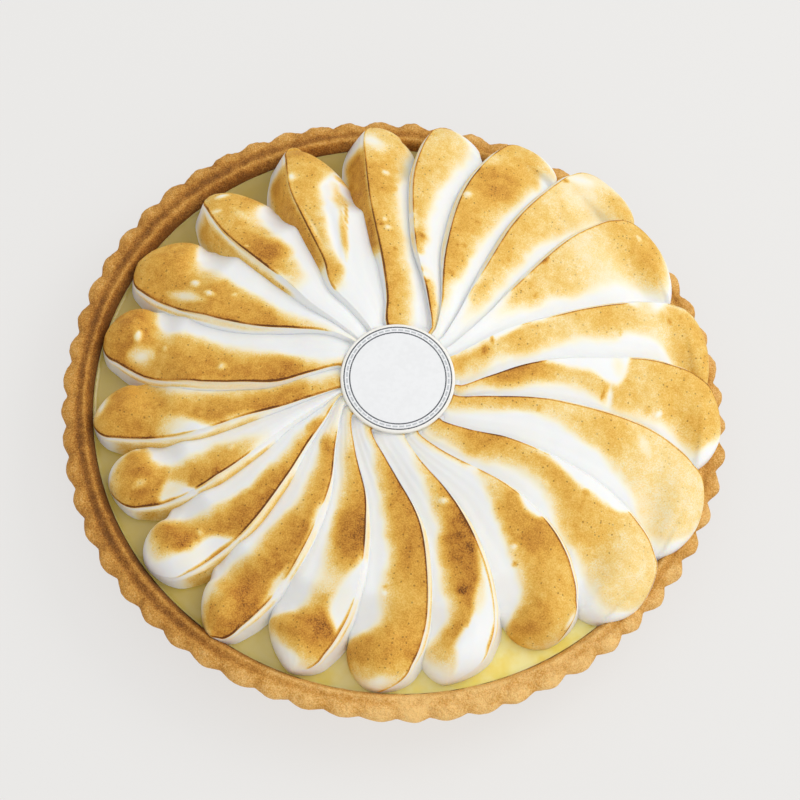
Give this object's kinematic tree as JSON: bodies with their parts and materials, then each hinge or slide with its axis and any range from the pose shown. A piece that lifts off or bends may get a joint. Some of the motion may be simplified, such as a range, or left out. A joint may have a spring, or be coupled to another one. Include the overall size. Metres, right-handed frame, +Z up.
{
  "type": "lemon meringue pie",
  "caption": "Round fluted pastry case filled with lemon curd under a piped, torch-browned meringue rosette with a round plaque on top.",
  "frame": {"origin": "middle of the case's base, on the surface that the pie stands on", "axes": "+Z up; -Y towards the front, the side to which the plaque is tilted; +X to the right"},
  "size_m": [0.242, 0.242, 0.048],
  "materials": {
    "pastry": "baked shortcrust pastry, matt, golden brown, fine crumb",
    "lemon_filling": "set lemon cream, glossy, slightly translucent yellow",
    "meringue": "soft white meringue, satin, torched golden to brown along the ridges",
    "plaque": "smooth off-white plaque with two thin dark rings, no text"
  },
  "bodies": {
    "root": {"crust": "pastry", "curd": "lemon_filling", "meringue": "meringue", "plaque": "plaque"}
  },
  "joints": []
}
